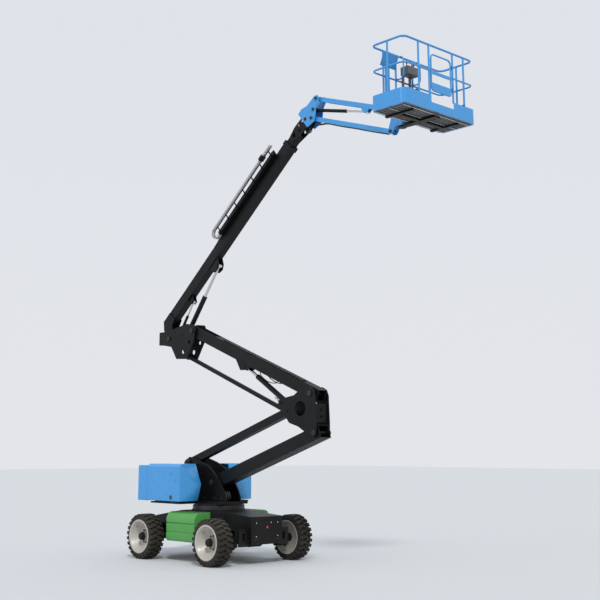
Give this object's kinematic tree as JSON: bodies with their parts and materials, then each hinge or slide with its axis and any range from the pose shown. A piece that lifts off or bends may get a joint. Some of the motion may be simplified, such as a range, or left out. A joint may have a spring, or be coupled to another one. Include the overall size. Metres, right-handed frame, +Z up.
{
  "type": "articulating boom lift",
  "caption": "Four-wheel articulating boom lift: slewing turntable, folding riser, telescopic boom, jib and basket, raised to working height.",
  "frame": {"origin": "bottom centre of the bounding box in the pose drawn, on the ground under the tyres", "axes": "+X forward, the way the boom reaches; +Y to the left; +Z up"},
  "size_m": [7.604, 2.274, 8.73],
  "materials": {
    "black": "satin near-black paint",
    "blue": "gloss sky-blue paint",
    "green": "gloss green paint",
    "grey": "satin dark grey",
    "plastic": "dark grey moulded",
    "rim": "cream-silver paint",
    "rubber": "dusty black rubber",
    "silver": "dull silver",
    "steel": "ground and chromed",
    "weight": "cast iron painted sky blue"
  },
  "bodies": {
    "chassis": {"chassis_frame": "black", "side_cover_left": "green", "side_cover_right": "green", "front_axle": "black", "rear_axle": "black", "slew_ring": "grey"},
    "steering_knuckle_left": {"steering_knuckle_left": "grey"},
    "steering_knuckle_right": {"steering_knuckle_right": "grey"},
    "turntable": {"turntable_frame": "black", "counterweight": "weight", "battery_pack": "plastic", "hydraulic_tank": "silver", "pump_motor": "grey"},
    "hood_left": {"hood_left": "blue"},
    "hood_right": {"hood_right": "blue"},
    "lower_arm": {"lower_arm": "black"},
    "lower_link": {"lower_link": "black"},
    "mid_knuckle": {"mid_knuckle": "black"},
    "upper_arm": {"upper_arm": "black"},
    "upper_link": {"upper_link": "black"},
    "upper_knuckle": {"upper_knuckle": "black"},
    "main_boom": {"main_boom": "black", "cable_track": "silver"},
    "fly_boom": {"fly_boom": "black"},
    "jib_base": {"jib_base": "blue"},
    "jib_lower_arm": {"jib_lower_arm": "blue"},
    "jib_upper_arm": {"jib_upper_arm": "blue"},
    "jib_head": {"jib_head": "blue"},
    "basket": {"basket_support": "black", "basket_floor": "blue", "basket_rails_front": "blue", "basket_rails_rear": "blue", "basket_rails_left": "blue", "basket_rails_right": "blue", "control_console": "plastic", "console_cover": "blue"},
    "gate": {"basket_gate": "blue"},
    "wheel_front_left": {"tyre_front_left": "rubber", "rim_front_left": "rim"},
    "wheel_front_right": {"tyre_front_right": "rubber", "rim_front_right": "rim"},
    "wheel_rear_left": {"tyre_rear_left": "rubber", "rim_rear_left": "rim"},
    "wheel_rear_right": {"tyre_rear_right": "rubber", "rim_rear_right": "rim"},
    "riser_cylinder_barrel": {"riser_cylinder_barrel": "black"},
    "riser_cylinder_rod": {"riser_cylinder_rod": "steel"},
    "boom_cylinder_barrel": {"boom_cylinder_barrel": "black"},
    "boom_cylinder_rod": {"boom_cylinder_rod": "steel"},
    "level_cylinder_barrel": {"level_cylinder_barrel": "black"},
    "level_cylinder_rod": {"level_cylinder_rod": "steel"},
    "jib_cylinder_barrel": {"jib_cylinder_barrel": "black"},
    "jib_cylinder_rod": {"jib_cylinder_rod": "steel"}
  },
  "joints": [
    {"name": "steer_left", "type": "hinge", "parent": "chassis", "child": "steering_knuckle_left", "pos_m": [-0.917, 0.78, 0.41641], "axis": [0, 0, 1], "range_deg": [-35, 35]},
    {"name": "steer_right", "type": "hinge", "parent": "chassis", "child": "steering_knuckle_right", "pos_m": [-0.917, -0.78, 0.41641], "axis": [0, 0, 1], "range_deg": [-35, 35]},
    {"name": "wheel_front_left_spin", "type": "hinge", "parent": "steering_knuckle_left", "child": "wheel_front_left", "pos_m": [-0.917, 0.977, 0.41641], "axis": [0, 1, 0], "continuous": true},
    {"name": "wheel_front_right_spin", "type": "hinge", "parent": "steering_knuckle_right", "child": "wheel_front_right", "pos_m": [-0.917, -0.977, 0.41641], "axis": [0, 1, 0], "continuous": true},
    {"name": "wheel_rear_left_spin", "type": "hinge", "parent": "chassis", "child": "wheel_rear_left", "pos_m": [-2.967, 0.977, 0.41641], "axis": [0, 1, 0], "continuous": true},
    {"name": "wheel_rear_right_spin", "type": "hinge", "parent": "chassis", "child": "wheel_rear_right", "pos_m": [-2.967, -0.977, 0.41641], "axis": [0, 1, 0], "continuous": true},
    {"name": "slew", "type": "hinge", "parent": "chassis", "child": "turntable", "pos_m": [-1.942, 0, 0.91641], "axis": [0, 0, 1], "range_deg": [-177.5, 177.5]},
    {"name": "hood_left_open", "type": "hinge", "parent": "turntable", "child": "hood_left", "pos_m": [-2.542, 0.41, 1.77641], "axis": [1, 0, 0], "range_deg": [0, 65]},
    {"name": "hood_right_open", "type": "hinge", "parent": "turntable", "child": "hood_right", "pos_m": [-2.542, -0.41, 1.77641], "axis": [-1, 0, 0], "range_deg": [0, 65]},
    {"name": "riser_lift", "type": "hinge", "parent": "turntable", "child": "lower_arm", "pos_m": [-1.932, 0, 1.42641], "axis": [0, -1, 0], "range_deg": [-17, 47]},
    {"name": "lower_link_pivot", "type": "hinge", "parent": "turntable", "child": "lower_link", "pos_m": [-2.642, 0, 1.82141], "axis": [0, -1, 0], "range_deg": [-17, 47]},
    {"name": "mid_knuckle_level", "type": "hinge", "parent": "lower_arm", "child": "mid_knuckle", "pos_m": [0.878, 0, 2.33641], "axis": [0, -1, 0], "range_deg": [-47, 17]},
    {"name": "upper_arm_pivot", "type": "hinge", "parent": "mid_knuckle", "child": "upper_arm", "pos_m": [0.778, 0, 3.02641], "axis": [0, -1, 0], "range_deg": [-47, 17]},
    {"name": "upper_link_pivot", "type": "hinge", "parent": "mid_knuckle", "child": "upper_link", "pos_m": [0.318, 0, 2.56641], "axis": [0, -1, 0], "range_deg": [-47, 17]},
    {"name": "upper_knuckle_level", "type": "hinge", "parent": "upper_arm", "child": "upper_knuckle", "pos_m": [-2.702, 0, 4.41641], "axis": [0, -1, 0], "range_deg": [-17, 47]},
    {"name": "riser_cylinder_pivot", "type": "hinge", "parent": "mid_knuckle", "child": "riser_cylinder_barrel", "pos_m": [0.008, 0, 2.88641], "axis": [0, -1, 0], "range_deg": [-58.06, 21.02]},
    {"name": "riser_cylinder_slide", "type": "slide", "parent": "riser_cylinder_barrel", "child": "riser_cylinder_rod", "axis": [-0.8467, 0, 0.532], "range_m": [-0.191, 0.5263]},
    {"name": "boom_lift", "type": "hinge", "parent": "upper_knuckle", "child": "main_boom", "pos_m": [-3.472, 0, 4.31641], "axis": [0, -1, 0], "range_deg": [-35, 35]},
    {"name": "boom_cylinder_pivot", "type": "hinge", "parent": "upper_knuckle", "child": "boom_cylinder_barrel", "pos_m": [-3.042, 0, 4.35641], "axis": [0, -1, 0], "range_deg": [-40.59, 40.59]},
    {"name": "boom_cylinder_slide", "type": "slide", "parent": "boom_cylinder_barrel", "child": "boom_cylinder_rod", "axis": [0.6071, 0, 0.7946], "range_m": [-0.178, 0.178]},
    {"name": "level_cylinder_pivot", "type": "hinge", "parent": "upper_knuckle", "child": "level_cylinder_barrel", "pos_m": [-3.272, 0, 4.42641], "axis": [0, -1, 0], "range_deg": [-43.87, 43.87]},
    {"name": "level_cylinder_slide", "type": "slide", "parent": "level_cylinder_barrel", "child": "level_cylinder_rod", "axis": [0.5791, 0, 0.8152], "range_m": [-0.0572, 0.0572]},
    {"name": "boom_extend", "type": "slide", "parent": "main_boom", "child": "fly_boom", "axis": [0.766, 0, 0.6428], "range_m": [0, 2.9]},
    {"name": "jib_base_level", "type": "hinge", "parent": "fly_boom", "child": "jib_base", "pos_m": [0.608, 0, 8.17641], "axis": [0, -1, 0], "range_deg": [-35, 35]},
    {"name": "jib_lift", "type": "hinge", "parent": "jib_base", "child": "jib_lower_arm", "pos_m": [0.778, 0, 8.16141], "axis": [0, -1, 0], "range_deg": [-40, 55]},
    {"name": "jib_upper_pivot", "type": "hinge", "parent": "jib_base", "child": "jib_upper_arm", "pos_m": [0.908, 0, 8.51641], "axis": [0, -1, 0], "range_deg": [-40, 55]},
    {"name": "jib_head_level", "type": "hinge", "parent": "jib_lower_arm", "child": "jib_head", "pos_m": [2.714, 0, 7.47341], "axis": [0, -1, 0], "range_deg": [-55, 40]},
    {"name": "jib_cylinder_pivot", "type": "hinge", "parent": "jib_base", "child": "jib_cylinder_barrel", "pos_m": [0.828, 0, 8.32141], "axis": [0, -1, 0], "range_deg": [-38.53, 52.97]},
    {"name": "jib_cylinder_slide", "type": "slide", "parent": "jib_cylinder_barrel", "child": "jib_cylinder_rod", "axis": [0.9679, 0, -0.2515], "range_m": [-0.1316, 0.1806]},
    {"name": "platform_rotate", "type": "hinge", "parent": "jib_head", "child": "basket", "pos_m": [2.928, 0, 7.56141], "axis": [0, 0, 1], "range_deg": [-90, 90]},
    {"name": "gate_swing", "type": "hinge", "parent": "basket", "child": "gate", "pos_m": [3.78, 0.295, 8.16141], "axis": [0, 0, -1], "range_deg": [0, 85]}
  ],
  "couplings": [
    {"joint": "steer_right", "follows": "steer_left", "ratio": 1},
    {"joint": "lower_link_pivot", "follows": "riser_lift", "ratio": 1},
    {"joint": "mid_knuckle_level", "follows": "riser_lift", "ratio": -1},
    {"joint": "upper_arm_pivot", "follows": "riser_lift", "ratio": -1},
    {"joint": "upper_link_pivot", "follows": "riser_lift", "ratio": -1},
    {"joint": "upper_knuckle_level", "follows": "riser_lift", "ratio": 1},
    {"joint": "riser_cylinder_pivot", "follows": "riser_lift", "ratio": -1.235},
    {"joint": "riser_cylinder_slide", "follows": "riser_lift", "m_per_rad": 0.6404},
    {"joint": "boom_cylinder_pivot", "follows": "boom_lift", "ratio": 1.1592},
    {"joint": "boom_cylinder_slide", "follows": "boom_lift", "m_per_rad": 0.2897},
    {"joint": "level_cylinder_pivot", "follows": "boom_lift", "ratio": 1.2528},
    {"joint": "level_cylinder_slide", "follows": "boom_lift", "m_per_rad": 0.092},
    {"joint": "jib_base_level", "follows": "boom_lift", "ratio": -1},
    {"joint": "jib_upper_pivot", "follows": "jib_lift", "ratio": 1},
    {"joint": "jib_head_level", "follows": "jib_lift", "ratio": -1},
    {"joint": "jib_cylinder_pivot", "follows": "jib_lift", "ratio": 0.9627},
    {"joint": "jib_cylinder_slide", "follows": "jib_lift", "m_per_rad": 0.1871}
  ]
}
